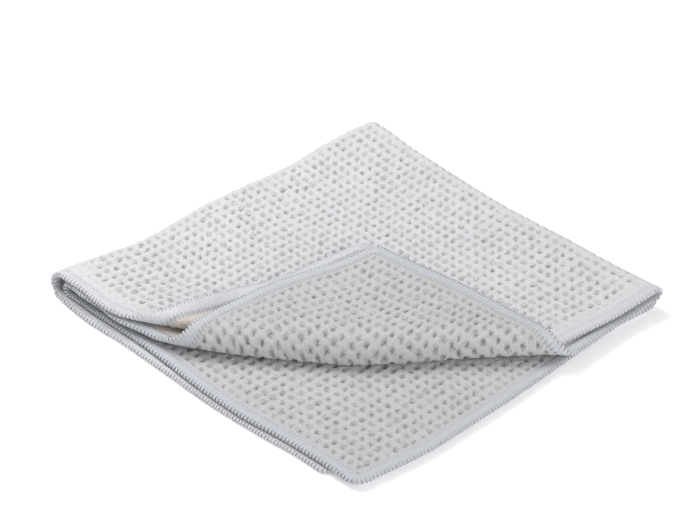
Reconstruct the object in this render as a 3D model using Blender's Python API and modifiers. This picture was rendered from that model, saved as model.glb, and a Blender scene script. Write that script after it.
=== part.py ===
"""A square waffle-weave towel, folded in quarters, with the front corner of its top packet turned back.

The cloth is one sheet. It is drawn flat, with s across it and t along it, both from its middle,
and folded by formula: first along t = 0, then along s = 0, so that four layers lie on each other.
Fold A is the loose pair of bends at the +Y side and fold B the nested bend at the -X side. The open
edges are at -Y and +X. Last, the two upper layers turn back together across the front corner.
Lengths are in metres, and the tables below are in millimetres.
"""
import bmesh
import bpy
import numpy as np

MM = 0.001

# Driving dimensions
SIDE = 0.400              # the cut square
CLOTH_THICKNESS = 0.0018
LAYER_PITCH = 0.00245     # between the middles of two layers that lie on each other
CORNER_RADIUS = 0.009     # the sewn corners are a little round

# Loops of the two folds
FOLD_A_PUFF = 0.0010      # how much each loop of fold A opens past the layers' own pitch
FOLD_A_PUFF_LENGTH = 0.022
FOLD_B_PUFF = 0.0009
FOLD_B_HEM_PUFF = 0.0008  # the stiff hems open fold B further at their end
FOLD_B_HEM_LENGTH = 0.030
FOLD_B_PUFF_LENGTH = 0.018
FOLD_B_NEST_LENGTH = 0.120
FOLD_A_LINE = 0.100       # the +Y reach of the folded towel before its edges are drawn in
FOLD_B_LINE = 0.099       # the -X reach of the folded towel
FOLD_B_OFFSET = 0.001     # fold B lies this far off the cloth's middle

# The turned-back corner
TURN_FRONT_ANGLE = np.radians(105)   # how far the tight front of the roll turns
TURN_DIP = np.radians(9)             # the flap then falls at this slope
TURN_LANDING_RADIUS = 0.040
FLAP_REST = 0.0042                   # the flap's height over the layers it lies on
LIFT_LENGTH = 0.040                  # the layers rise over this length towards the roll
FLAP_SKEW = 0.038                    # the corner was pulled a little to the right,
FLAP_STRETCH = 1.04                  # and a little long
HEM_LIFT = 0.001                     # the top layer's hem springs up by this much
HEM_LIFT_LENGTH = 0.035
INNER_ROLL_INSET = 0.0012            # the inner layer's roll is this much smaller at its back

# The middle of the folded packet, which becomes the origin
PACKET_MIDDLE = (0.00065, -0.00126)

# How far each open edge lies off its straight line: place along the edge, offset towards the back
LEFT_EDGE_OUTER_LAYERS = (
    (-200, 2.2), (-182, 1.9), (-160, -0.2), (-125, -2.4), (-88, -2.5), (-60, -2.6), (-28, -3.9),
    (-14, -3.2), (0, -0.3), (14, -1.0), (26, 0.3), (46, 3.4), (70, 3.0), (110, 0.0), (200, 0.0),
)
LEFT_EDGE_INNER_LAYERS = (
    (-200, 4.2), (-186, 4.7), (-169, 4.0), (-152, 2.6), (-132, 0.2), (-110, -0.5), (-64, 1.2),
    (-30, 0.5), (0, 0.2), (14, -0.6), (30, 1.2), (45, 3.2), (60, 3.0), (90, 0.0), (125, -1.0),
    (142, -3.2), (157, -3.6), (180, -1.8), (200, -1.5),
)
# The same for the right edge, whose layers slid past each other as fold B was made: offset towards +X
RIGHT_EDGE_UPPER_LAYERS = (
    (-200, -3.2), (-120, -3.2), (-60, -1.7), (0, 0.0), (60, 1.7), (120, 3.2), (200, 3.0),
)
RIGHT_EDGE_LOWER_LAYERS = (
    (-200, -12.2), (-120, -7.2), (-60, -4.2), (0, -1.0), (60, 0.8), (100, 2.4), (130, 3.1),
    (160, 3.6), (186, 1.2), (200, -0.3),
)
# The folded edges bow too: place along the fold, offset
FOLD_A_BOW = ((-110, 0.0), (-73, -2.0), (-35, -4.0), (0, -5.6), (38, -4.0), (84, -2.5), (110, -0.5))
FOLD_B_BOW = (
    (-110, -4.0), (-94, -3.5), (-70, -0.5), (-53, 1.8), (-30, 1.0), (-10, -0.6), (20, 0.4),
    (43, 1.6), (73, 0.0), (100, 3.0),
)
# The roll, a row for each station across the towel's front corner, left to right
TURN_COLUMNS = ("station", "start", "front_radius", "back_radius", "lift", "inner_lag")
TURN_ROWS = (
    (-110, 38.0, 2.7, 5.2, 2.5, 3.2),
    (-92, 43.5, 2.7, 5.4, 2.5, 4.0),
    (-75, 46.8, 2.5, 5.8, 2.0, 4.6),
    (-59, 48.4, 2.5, 7.5, 1.0, 4.4),
    (-40, 50.5, 2.5, 9.0, 0.4, 3.4),
    (-20, 52.6, 2.5, 10.0, 0.0, 2.8),
    (0, 54.1, 2.5, 10.0, 0.0, 2.6),
    (21, 52.3, 2.5, 9.5, 0.0, 2.6),
    (50, 48.3, 2.5, 8.0, 0.6, 2.6),
    (69, 46.3, 2.5, 7.0, 1.6, 2.8),
    (85, 44.3, 2.5, 5.5, 2.6, 3.0),
    (100, 44.0, 2.5, 5.0, 3.6, 2.8),
    (115, 42.0, 2.5, 4.8, 3.6, 2.8),
)

# Lines of the flat grid: each zone runs to a place, in steps of about a length
GRID_ZONES_ACROSS = ((-200, -200), (-186, 7), (-12, 25), (12, 2.4), (200, 14.4))
GRID_ZONES_ALONG = ((-200, -200), (-6, 14), (6, 1.5), (200, 14))
# The grid is halved twice near the roll, in zones that reach behind and ahead of it
ROLL_PLACE = 0.050
ROLL_ZONES = ((0.016, 0.110), (0.012, 0.026))

CLOTH_COLOUR = (0.68, 0.67, 0.69, 1.0)
CLOTH_ROUGHNESS = 0.95


def smooth_step(start, end, value):
    """0 before start and 1 past end, with a soft change between."""
    part = np.clip((value - start) / (end - start), 0, 1)
    return part * part * (3 - 2 * part)


def smooth_curve(rows, place, column=1):
    """Reads a column of a table, in metres, on a smooth curve through its rows."""
    stations = np.array([row[0] for row in rows]) * MM
    values = np.array([row[column] for row in rows]) * MM
    slopes = np.gradient(values, stations)
    left = np.clip(np.searchsorted(stations, place) - 1, 0, len(stations) - 2)
    span = stations[left + 1] - stations[left]
    part = np.clip((place - stations[left]) / span, 0, 1)
    rise = part * part * (3 - 2 * part)
    bend_left = part * (1 - part) ** 2 * span * slopes[left]
    bend_right = -part * part * (1 - part) * span * slopes[left + 1]
    return values[left] * (1 - rise) + values[left + 1] * rise + bend_left + bend_right


def round_corners(s, t):
    """Pulls the points of the flat square's corners onto round ones."""
    inner = SIDE / 2 - CORNER_RADIUS
    s_past = np.maximum(np.abs(s) - inner, 0)
    t_past = np.maximum(np.abs(t) - inner, 0)
    reach = np.maximum(np.hypot(s_past, t_past), 1e-9)
    shrink = np.where(reach > 1e-9, np.maximum(s_past, t_past) / reach, 1)
    s_round = np.where(s_past > 0, np.sign(s) * (inner + s_past * shrink), s)
    t_round = np.where(t_past > 0, np.sign(t) * (inner + t_past * shrink), t)
    return s_round, t_round


def layer_half_pitch(depth):
    """Half the pitch of two layers at a depth in from fold A, wider at its loop."""
    return LAYER_PITCH / 2 + FOLD_A_PUFF * np.exp(-(depth / FOLD_A_PUFF_LENGTH) ** 2)


def fold_a(t):
    """First fold: the depth in from fold A, and the half pitch and side of the layer there."""
    tip = layer_half_pitch(0)
    quarter = np.pi / 2 * tip
    angle = np.clip(t / tip, -np.pi / 2, np.pi / 2)
    straight = np.maximum(np.abs(t) - quarter, 0)
    depth = np.where(straight > 0, tip + straight, tip * (1 - np.cos(angle)))
    half_pitch = layer_half_pitch(straight)
    return depth, half_pitch, np.sin(angle) * half_pitch


def fold_b(s, t, depth, half_pitch, side):
    """Second fold: the folded place x, the height z, and the height of the upper packet's middle."""
    straight_from_fold = np.maximum(np.abs(s) - 0.008, 0)
    packet_radius = half_pitch + LAYER_PITCH / 2
    puff = FOLD_B_PUFF + FOLD_B_HEM_PUFF * np.exp(-((SIDE / 2 - np.abs(t)) / FOLD_B_HEM_LENGTH) ** 2)
    radius = packet_radius + puff * np.exp(-(straight_from_fold / FOLD_B_PUFF_LENGTH) ** 2)
    end_radius = packet_radius + puff
    nesting = smooth_step(0, FOLD_B_NEST_LENGTH, depth)
    quarter = np.pi / 2 * (end_radius - side * nesting)
    angle = np.clip(s / quarter, -1, 1) * np.pi / 2
    straight = np.maximum(np.abs(s) - quarter, 0)
    outermost = end_radius + half_pitch
    reach = np.where(straight > 0, outermost + straight, outermost - (radius - side) * np.cos(angle))
    fold_height = CLOTH_THICKNESS / 2 + radius + half_pitch
    z = fold_height + (radius - side) * np.sin(angle)
    is_upper = (s > 0) & (straight > 0)
    return reach - FOLD_B_LINE, z, fold_height + radius, is_upper


def draw_edges(s, t, x, y):
    """Moves the folded points so that the edges and folds bow as soft cloth does."""
    fade_s = smooth_step(0.060, 0.200, np.abs(s))
    fade_t = smooth_step(0.060, 0.200, np.abs(t))
    left_outer = smooth_curve(LEFT_EDGE_OUTER_LAYERS, s)
    left_inner = smooth_curve(LEFT_EDGE_INNER_LAYERS, s)
    right_upper = smooth_curve(RIGHT_EDGE_UPPER_LAYERS, t)
    right_lower = smooth_curve(RIGHT_EDGE_LOWER_LAYERS, t)
    x = x + smooth_curve(FOLD_B_BOW, y) * smooth_step(0.040, -0.100, x)
    y = y + smooth_curve(FOLD_A_BOW, x) * smooth_step(-0.060, 0.100, y)
    x = x + np.where(s > 0, right_upper, right_lower) * fade_s
    y = y + np.where(t < 0, left_outer, left_inner) * fade_t
    return x, y


def top_hem_lift(s, t):
    """Height that the top layer's two hems spring up by."""
    start = SIDE / 2 - HEM_LIFT_LENGTH
    right_hem = smooth_step(start, SIDE / 2, s) * smooth_step(0, 0.060, -t)
    left_hem = smooth_step(start, SIDE / 2, -t) * smooth_step(0.010, 0.060, s)
    return HEM_LIFT * np.where((s > 0) & (t < 0), right_hem + left_hem, 0)


def roll_profile(run, front_radius, back_radius, rest_height):
    """The roll in section: how far forward, how high and how far turned a point is at a run along it.

    A tight front, a wider back that passes level by the dip, a straight fall, and a landing.
    """
    front_run = TURN_FRONT_ANGLE * front_radius
    full_angle = np.pi + TURN_DIP
    back_run = (full_angle - TURN_FRONT_ANGLE) * back_radius
    top = front_radius * (1 - np.cos(TURN_FRONT_ANGLE))
    top = top + back_radius * (np.cos(TURN_FRONT_ANGLE) - np.cos(full_angle))
    drop = np.maximum(top - rest_height, 1e-6)
    landing_drop = TURN_LANDING_RADIUS * (1 - np.cos(TURN_DIP))
    landing_radius = np.minimum(TURN_LANDING_RADIUS, drop / (1 - np.cos(TURN_DIP)))
    fall_run = np.maximum(drop - landing_drop, 0) / np.sin(TURN_DIP)

    front = np.clip(run, 0, front_run) / front_radius
    back = TURN_FRONT_ANGLE + np.clip(run - front_run, 0, back_run) / back_radius
    fall = np.clip(run - front_run - back_run, 0, fall_run)
    past = run - front_run - back_run - fall_run
    landing = np.clip(past / landing_radius, 0, TURN_DIP)
    level = np.maximum(past - landing_radius * TURN_DIP, 0)

    forward = front_radius * np.sin(front) + back_radius * (np.sin(back) - np.sin(TURN_FRONT_ANGLE))
    forward = forward + fall * np.cos(full_angle) - level
    forward = forward + landing_radius * (np.sin(full_angle) - np.sin(full_angle - landing))
    height = front_radius * (1 - np.cos(front)) + back_radius * (np.cos(TURN_FRONT_ANGLE) - np.cos(back))
    height = height + fall * np.sin(full_angle)
    height = height + landing_radius * (np.cos(full_angle - landing) - np.cos(full_angle))
    angle = np.where(run < front_run, front, back - landing)
    return forward, height, angle


def turn_back(x, y, z, packet_height, is_upper, hem_lift):
    """Third fold: the upper packet's front corner turns back over a roll across the diagonal."""
    across = (x + y) / np.sqrt(2)
    ahead = (x - y) / np.sqrt(2)
    roll = {name: smooth_curve(TURN_ROWS, across, i) for i, name in enumerate(TURN_COLUMNS)}
    side = z - packet_height
    is_inner = side > 0
    lag = np.where(is_inner, roll["inner_lag"], 0)
    start = roll["start"] - lag
    inset = INNER_ROLL_INSET + 0.12 * lag
    back_radius = np.where(is_inner, roll["back_radius"] - inset, roll["back_radius"])
    section = (roll["front_radius"], back_radius, 2 * np.abs(side) + FLAP_REST)

    past_start = np.maximum(ahead - start, 0)
    run = past_start
    for _ in range(16):
        angle = roll_profile(run, *section)[2]
        run = np.maximum(past_start + side * angle, 0)
    forward, height, angle = roll_profile(run, *section)

    is_turned = is_upper & (ahead > start)
    flat_ahead = ahead
    forward = forward - side * np.sin(angle)
    forward = np.where(forward < 0, forward * FLAP_STRETCH, forward)
    ahead = np.where(is_turned, start + forward, ahead)
    across = np.where(is_turned, across + FLAP_SKEW * np.maximum(-forward, 0), across)
    z = np.where(is_turned, packet_height + height + side * np.cos(angle), z)
    z = z + roll["lift"] * smooth_step(-LIFT_LENGTH, 0, ahead - start) * is_upper
    z = z + hem_lift * smooth_step(0, HEM_LIFT_LENGTH, start - flat_ahead)
    return (across + ahead) / np.sqrt(2), (across - ahead) / np.sqrt(2), z


def fold_towel(s, t):
    """Takes points of the flat square to their places in the folded towel."""
    s, t = round_corners(s, t)
    depth, half_pitch, side = fold_a(t)
    x, z, packet_height, is_upper = fold_b(s + FOLD_B_OFFSET, t, depth, half_pitch, side)
    x, y = draw_edges(s, t, x, FOLD_A_LINE - depth)
    return turn_back(x, y, z, packet_height, is_upper, top_hem_lift(s, t))


def grid_lines(zones):
    """Places of the flat grid's lines, zone by zone."""
    lines = [zones[0][0] * MM]
    for end, step in zones[1:]:
        length = end * MM - lines[-1]
        count = max(1, round(length / (step * MM)))
        lines += list(np.linspace(lines[-1], end * MM, count + 1)[1:])
    return np.array(lines)


def needs_smaller_faces(edge, behind, ahead):
    """True where an edge of the flat upper layers lies near the roll, or one of any layer at a corner."""
    s, t = ((edge.verts[0].co + edge.verts[1].co) / 2).xy
    from_corner = max(SIDE / 2 - abs(s), SIDE / 2 - abs(t))
    past_roll = (s + abs(t) - SIDE / 2) / np.sqrt(2) - ROLL_PLACE
    near_roll = s > 0 and -behind < past_roll < ahead
    return near_roll or from_corner < CORNER_RADIUS


def flat_cloth():
    """The flat sheet as a grid, its lines closer at the folds and its faces smaller at the roll."""
    across = grid_lines(GRID_ZONES_ACROSS)
    along = grid_lines(GRID_ZONES_ALONG)
    bpy.ops.mesh.primitive_grid_add(x_subdivisions=len(across) - 1, y_subdivisions=len(along) - 1, size=1)
    sheet = bpy.context.active_object
    cloth = bmesh.new()
    cloth.from_mesh(sheet.data)
    for corner in cloth.verts:
        column = round((corner.co.x + 0.5) * (len(across) - 1))
        row = round((corner.co.y + 0.5) * (len(along) - 1))
        corner.co = (across[column], along[row], 0)
    for behind, ahead in ROLL_ZONES:
        near = [edge for edge in cloth.edges if needs_smaller_faces(edge, behind, ahead)]
        bmesh.ops.subdivide_edges(cloth, edges=near, cuts=1, use_grid_fill=True)
    many_sided = [f for f in cloth.faces if len(f.verts) > 4]
    bmesh.ops.triangulate(cloth, faces=many_sided)
    cloth.to_mesh(sheet.data)
    cloth.free()
    return sheet


def cloth_material():
    """Soft white cotton-like cloth."""
    material = bpy.data.materials.new("towel_cloth")
    material.use_nodes = True
    shader = material.node_tree.nodes["Principled BSDF"]
    shader.inputs["Base Color"].default_value = CLOTH_COLOUR
    shader.inputs["Roughness"].default_value = CLOTH_ROUGHNESS
    shader.inputs["Metallic"].default_value = 0.0
    return material


def build_towel(collection):
    """The whole towel: one folded sheet with its thickness."""
    towel = flat_cloth()
    towel.name = "towel"
    flat = np.array([corner.co for corner in towel.data.vertices])
    x, y, z = fold_towel(flat[:, 0], flat[:, 1])
    folded = np.stack([x - PACKET_MIDDLE[0], y - PACKET_MIDDLE[1], z], axis=1)
    towel.data.vertices.foreach_set("co", folded.ravel())
    towel.data.update()

    thickness = towel.modifiers.new("thickness", "SOLIDIFY")
    thickness.thickness = CLOTH_THICKNESS
    thickness.offset = 0
    thickness.use_quality_normals = True
    facets = towel.modifiers.new("facets", "TRIANGULATE")
    facets.quad_method = "LONGEST_DIAGONAL"
    towel.data.materials.append(cloth_material())
    for owner in list(towel.users_collection):
        owner.objects.unlink(towel)
    collection.objects.link(towel)


def main():
    for old in list(bpy.data.objects):
        bpy.data.objects.remove(old, do_unlink=True)
    collection = bpy.data.collections.new("dish_towel")
    bpy.context.scene.collection.children.link(collection)
    build_towel(collection)


main()
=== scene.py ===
"""A square waffle-weave towel with an overlocked edge, folded in quarters, one corner turned back.

The cloth and its edge threads are made flat: s runs across the square and t along it, both from
its middle, and Z is the height off the cloth's middle layer. Geometry Nodes press the waffle into
the cloth and run the stitches round its edge. Then every point of both is taken to its place in
the folded towel, by the formula that the solid was made by. The bows of the edges and folds, the
roll, and the hem that stands up beside it have tables of their own here.
From the top down, the quarters of the square are s > 0 > t, then both above 0, whose corner is
turned back with the first one's, then t > 0 > s, and then both below 0.
Face P of the cloth is the one that shows, and face Q lies inside the folds.
Lengths are in metres, and the tables are in millimetres and degrees.
"""

import bpy
import numpy as np
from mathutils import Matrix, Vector


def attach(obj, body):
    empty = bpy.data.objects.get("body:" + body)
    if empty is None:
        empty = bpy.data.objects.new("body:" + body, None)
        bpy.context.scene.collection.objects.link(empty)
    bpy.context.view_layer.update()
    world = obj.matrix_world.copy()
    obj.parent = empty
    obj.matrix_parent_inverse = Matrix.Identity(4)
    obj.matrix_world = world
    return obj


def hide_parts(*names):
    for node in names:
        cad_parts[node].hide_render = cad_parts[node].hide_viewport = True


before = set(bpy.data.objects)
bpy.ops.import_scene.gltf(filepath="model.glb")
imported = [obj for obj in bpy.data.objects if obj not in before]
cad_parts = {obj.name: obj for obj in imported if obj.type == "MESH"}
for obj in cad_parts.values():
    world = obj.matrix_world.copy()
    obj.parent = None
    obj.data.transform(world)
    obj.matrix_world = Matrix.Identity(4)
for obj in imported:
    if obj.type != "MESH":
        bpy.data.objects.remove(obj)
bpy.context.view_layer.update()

MM = 0.001

# ---- the cut square and its folds

SIDE = 0.400
CORNER_RADIUS = 0.0062  # the sewn corners are a little round
SOLID_THICKNESS = 0.0018  # of the plain solid that this towel is dressed over
LAYER_PITCH = 0.00245  # between the middles of two layers that lie on each other

# Loops of the two folds: how much further apart their layers stand there, and over what length
FOLD_A_PUFF = 0.0010
FOLD_A_PUFF_LENGTH = 0.022
FOLD_B_PUFF = 0.0009
FOLD_B_PUFF_LENGTH = 0.018
FOLD_B_PUFF_START = 0.008  # from the fold's own line
FOLD_B_HEM_PUFF = 0.0008  # more of it at the hems, which are stiffer
FOLD_B_HEM_LENGTH = 0.030
FOLD_B_NEST_LENGTH = 0.120  # in from fold A, where the layers in fold B come to nest in each other
FOLD_A_LINE = 0.100  # where each fold lies in the folded towel, from its middle
FOLD_B_LINE = 0.099
FOLD_B_OFFSET = 0.001  # the cloth isn't folded quite at its middle

# The turned-back corner
TURN_FRONT_ANGLE = np.radians(105)  # of the roll's tight front; its wider back does the rest
TURN_DIP = np.radians(9)  # how far past level the flap falls from the roll
TURN_LANDING_RADIUS = 0.040
LEAST_DROP = 1e-6  # the landing needs some, also where the layers stand as high as the roll
TURN_ROUNDS = 16  # of the search for a layer's place along the roll
FLAP_REST = 0.0042  # between the middles of the top layer and of the flap's lower layer
FLAP_SKEW = 0.038  # it lies a little aside, and a little stretched
FLAP_STRETCH = 1.04
LIFT_LENGTH = 0.040  # in front of the roll the cloth rises over this length
HEM_LIFT = 0.0004  # the top layer's right hem springs up by this
HEM_LIFT_LENGTH = 0.035
HEM_LIFT_FADE = 0.060
INNER_LOOP_SLIP = 0.0060  # at the left corner the inner layers' loop lies this much deeper in fold B
INNER_LOOP_REACH = (0.045, 0.060)  # along s, and in from the edge
PACKET_MIDDLE = (0.00065, -0.00126)  # of the folded towel, which the frame has at its origin

# Where the bows fade out, from the middle of the towel to its edges
EDGE_FADE = (0.060, 0.200)
FOLD_B_BOW_FADE = (0.040, -0.100)
FOLD_A_BOW_FADE = (-0.060, 0.100)

# How far each open edge lies off its straight line: place along the edge, offset towards the back
LEFT_EDGE_OUTER_LAYERS = (
    (-200, 2.2), (-182, 1.9), (-160, -0.2), (-125, -2.4), (-88, -2.5), (-60, -2.6), (-28, -3.9),
    (-14, -2.6), (0, -0.6), (14, -0.2), (24, 0.6), (34, 0.0), (44, 0.4), (54, 3.2), (65, 6.0),
    (76, 7.2), (88, 7.2), (102, 5.6), (120, 4.2), (140, 3.2), (165, 2.2), (200, 1.2),
)
LEFT_EDGE_INNER_LAYERS = (
    (-200, 4.2), (-186, 4.7), (-169, 4.0), (-152, 2.6), (-132, 0.2), (-110, -0.5), (-64, 1.2),
    (-30, 0.5), (0, 0.2), (14, -0.6), (30, 1.0), (45, 0.6), (58, 3.4), (68, 5.0), (80, 6.4), (92, 3.6),
    (104, -0.2), (119, -2.6), (137, -4.0), (155, -3.2), (170, -1.2), (185, 0.0), (200, 0.5),
)
# The same for the right edge: offset towards +X
RIGHT_EDGE_UPPER_LAYERS = (
    (-200, -3.2), (-150, -5.0), (-100, -4.6), (-60, -2.6), (-20, -0.4), (0, 0.0), (60, 1.7),
    (120, 3.2), (200, 3.0),
)
RIGHT_EDGE_LOWER_LAYERS = (
    (-200, -12.2), (-120, -7.2), (-60, -4.2), (0, -1.0), (60, 0.8), (100, 2.4), (130, 3.1),
    (160, 3.6), (186, 1.2), (200, -0.3),
)
# The folded edges bow too: place along the fold, offset
FOLD_A_BOW = (
    (-110, 0.0), (-73, -2.0), (-35, -4.0), (0, -5.6), (38, -4.0), (84, -2.5), (110, -0.5),
)
FOLD_B_BOW = (
    (-110, -4.0), (-94, -3.5), (-70, -0.5), (-53, 1.8), (-30, 1.0), (-10, -0.6), (20, 0.4),
    (43, 1.6), (73, 0.0), (100, 3.0),
)
# The roll, a row for each station across the towel's front corner, left to right
TURN_COLUMNS = ("station", "start", "front_radius", "back_radius", "lift")
OUTER_TURN_ROWS = (
    (-110, 35.0, 2.7, 5.2, 2.5),
    (-92, 40.5, 2.7, 5.4, 2.3),
    (-75, 45.5, 2.5, 5.8, 1.8),
    (-59, 48.4, 2.5, 7.5, 1.0),
    (-40, 50.5, 2.5, 9.0, 0.4),
    (-20, 52.6, 2.5, 10.0, 0.0),
    (0, 54.1, 2.5, 10.0, 0.0),
    (21, 52.3, 2.5, 9.5, 0.0),
    (50, 48.3, 2.5, 8.0, 0.6),
    (69, 46.8, 2.5, 7.0, 1.2),
    (85, 45.6, 2.5, 5.5, 1.6),
    (100, 45.6, 2.5, 5.0, 2.0),
    (115, 44.0, 2.5, 4.8, 2.0),
)
INNER_TURN_ROWS = (
    (-110, 29.0, 2.7, 3.2, 3.0),
    (-92, 33.8, 2.7, 3.4, 3.0),
    (-75, 38.4, 2.5, 3.9, 2.6),
    (-59, 42.9, 2.5, 5.6, 1.4),
    (-40, 47.1, 2.5, 7.4, 0.4),
    (-20, 49.8, 2.5, 8.4, 0.0),
    (0, 51.5, 2.5, 8.5, 0.0),
    (21, 49.7, 2.5, 8.0, 0.0),
    (50, 45.7, 2.5, 6.5, 0.6),
    (69, 44.0, 2.5, 5.5, 1.2),
    (85, 42.6, 2.5, 3.9, 1.6),
    (100, 42.8, 2.5, 3.5, 2.0),
    (115, 41.2, 2.5, 3.3, 2.0),
)
# The top layer's left hem stands up from its flap beside the roll: place along the edge, degrees
TOP_HEM_CURL = (
    (62, 0), (72, 10), (80, 28), (90, 46), (102, 50), (114, 34), (128, 14), (146, 3), (170, 0),
)
HEM_CURL_START = 0.0085  # in from the edge
HEM_CURL_RADIUS = 0.0030  # of the bend at the standing hem's foot

# ---- the real cloth

WAFFLE_CELLS = 76  # pits along a side, between the hems
HEM_WIDTH = 0.0055  # the overlocked band
WAFFLE_PITCH = (SIDE - 2 * HEM_WIDTH) / WAFFLE_CELLS
RIDGE_HEIGHT = 0.00115  # of the shown face's ridges, off the middle layer
HIDDEN_FACE_HEIGHT = 0.00100
HEM_CLOTH_HEIGHT = 0.00072  # the cloth is squeezed by the edge threads
HEM_BANK = (0.0046, 0.0066)  # where it swells again, in from the edge
RIM_DEPTH = 0.0007  # the cut edge is rounded over this depth
PIT_WIDTH = 0.0036
PIT_FLOOR_SHARE = 0.30  # how much of its width is its flat floor
PIT_DEPTH = 0.00130
PIT_SEED = 5.0
PIT_NARROW, PIT_LONG = 1.25, 0.78  # distance counts so much more across a pit, and less along it
PIT_CORNERS = 2.4  # 2 would make the pits round, and more makes them squarer
PIT_SHIFT = 0.14  # how far a pit may be off its place, in pitches
PIT_RAGGED, PIT_RAGGED_LOOK = 0.26, 0.60  # how ragged its rim is, in the mesh and in the colour
LUMP_HEIGHT = 0.0010
LUMP_LEVEL = 0.62  # of the noise that the lumps are made from
REST_LIFT = 0.0004  # ridges and threads stand this far under the plain solid's face

# Pits are pressed flat at the hems, and shallower in the folds: where they fade, in from there
TOP_PIT_FADE = (0.0064, 0.0120)
PIT_FADE = (0.0058, 0.0085)
FOLD_FADE = (0.001, 0.012)
FOLD_PIT_SHARE = 0.55
LOOP_CORNER_FADE = (0.008, 0.026)
STRETCH_START, STRETCH_END = (-0.004, 0.006), (0.050, 0.020)  # where the roll stretches the cloth
STRETCH_GAIN = 0.1
SIZE_SWING, DEPTH_SWING = -0.35, 0.3  # how much the pits differ
HIDDEN_PIT_SHARE = 0.10  # face Q's pits are this much as deep

# Cells of the flat cloth are cut into this many steps each way: more where they show
FINE_STEPS, HEM_STEPS, COARSE_STEPS, HIDDEN_STEPS = 6, 3, 2, 1
STEP_PLACES = (0, 0.19, 0.335, 0.5, 0.665, 0.81)  # the steps are closer in a pit than on a ridge
FLAP_COVER = 0.020  # the flap surely hides the top layer to this far behind its diagonal
ROLL_MARGIN = 0.004  # the roll shows from this far before its start
ROLL_BEND = 0.030  # inside the roll the top layer bends over this length
HIDDEN_ROLL_BEND = (-0.006, 0.028)  # and its face Q over this, from the roll's start

STITCHES_A_SIDE = 198  # from the end of one corner's curve to the end of the next
THREAD_REACH = 0.0005  # the threads bulge this far past the cut edge
THREAD_RADIUS = 0.00026
THREAD_SIDES = 4
RING_POINTS = 14  # of one loop
SEAM_HEIGHT = 0.00186
LOOP_SPREAD = 3.2  # the textured thread spreads to this many times its height
SECOND_LOOP_INSET = 0.0011
SECOND_LOOP_LENGTH = 0.66  # of the first one's
FIRST_LOOP_HEIGHT, SECOND_LOOP_DROP = 1.01, -0.014
LOOP_LEAN = 0.015  # radians
# Uneven sewing: how much each loop may differ
LEAN_SWING, INSET_SWING, SPREAD_SWING, HEIGHT_SWING = 0.03, 0.00008, 0.16, 0.006
THREAD_SEED = 3
# a needle hole is drawn as a slit of painted shade in the cloth's colour
NEEDLE_ROW = 0.0054  # the row of needle holes, in from the edge
NEEDLE_ROW_EDGES = (0.0011, 0.0007)  # a hole fades out between these, from the row's middle
NEEDLE_SLIT_EDGES = (0.30, 0.16)  # and between these, in stitches
NEEDLE_FAINT, NEEDLE_STRETCHED = 0.10, 0.45  # how much a hole shows, and how much more on the flap
NEEDLE_FADE = (-0.004, 0.010)

# Noise, in lumps a metre: 1000 gives lumps about 1 mm across
RAGGED_RIMS = 700.0
SOFT_LUMPS = 420.0
PIT_SHADE_BREAKUP = 900.0
WASHED_PATCHES = 25.0
YARN_LOOPS = 1100.0  # real ones are about 0.5 mm, drawn at 0.9 mm so that they show
YARN_FUZZ = 3500.0  # about 0.3 mm
THREAD_PATCHES = 160.0
THREAD_TWIST = 1600.0  # the plies' twist is 0.3 mm long, drawn at twice that
TINY = 1e-9  # keeps a division from failing


def smooth_step(start, end, value):
    """0 before start and 1 past end, with a soft change between."""
    part = np.clip((value - start) / (end - start), 0, 1)
    return part * part * (3 - 2 * part)


def smooth_curve(rows, place, column=1):
    """Reads a column of a table, in metres, on a smooth curve through its rows."""
    stations = np.array([row[0] for row in rows]) * MM
    values = np.array([row[column] for row in rows]) * MM
    slopes = np.gradient(values, stations)
    left = np.clip(np.searchsorted(stations, place) - 1, 0, len(stations) - 2)
    span = stations[left + 1] - stations[left]
    part = np.clip((place - stations[left]) / span, 0, 1)
    rise = part * part * (3 - 2 * part)
    bend_left = part * (1 - part) ** 2 * span * slopes[left]
    bend_right = -part * part * (1 - part) * span * slopes[left + 1]
    return values[left] * (1 - rise) + values[left + 1] * rise + bend_left + bend_right


def round_corners(s, t):
    """Pulls the points of the flat square's corners onto round ones."""
    inner = SIDE / 2 - CORNER_RADIUS
    s_past = np.maximum(np.abs(s) - inner, 0)
    t_past = np.maximum(np.abs(t) - inner, 0)
    reach = np.maximum(np.hypot(s_past, t_past), TINY)
    shrink = np.where(reach > TINY, np.maximum(s_past, t_past) / reach, 1)
    s_round = np.where(s_past > 0, np.sign(s) * (inner + s_past * shrink), s)
    t_round = np.where(t_past > 0, np.sign(t) * (inner + t_past * shrink), t)
    return s_round, t_round


def layer_half_pitch(depth):
    """Half the pitch of two layers at a depth in from fold A, wider at its loop."""
    return LAYER_PITCH / 2 + FOLD_A_PUFF * np.exp(-(depth / FOLD_A_PUFF_LENGTH) ** 2)


def fold_a(t):
    """First fold: the depth in from fold A, and the half pitch and side of the layer there."""
    tip = layer_half_pitch(0)
    quarter = np.pi / 2 * tip
    angle = np.clip(t / tip, -np.pi / 2, np.pi / 2)
    straight = np.maximum(np.abs(t) - quarter, 0)
    depth = np.where(straight > 0, tip + straight, tip * (1 - np.cos(angle)))
    half_pitch = layer_half_pitch(straight)
    return depth, half_pitch, np.sin(angle) * half_pitch


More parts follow.
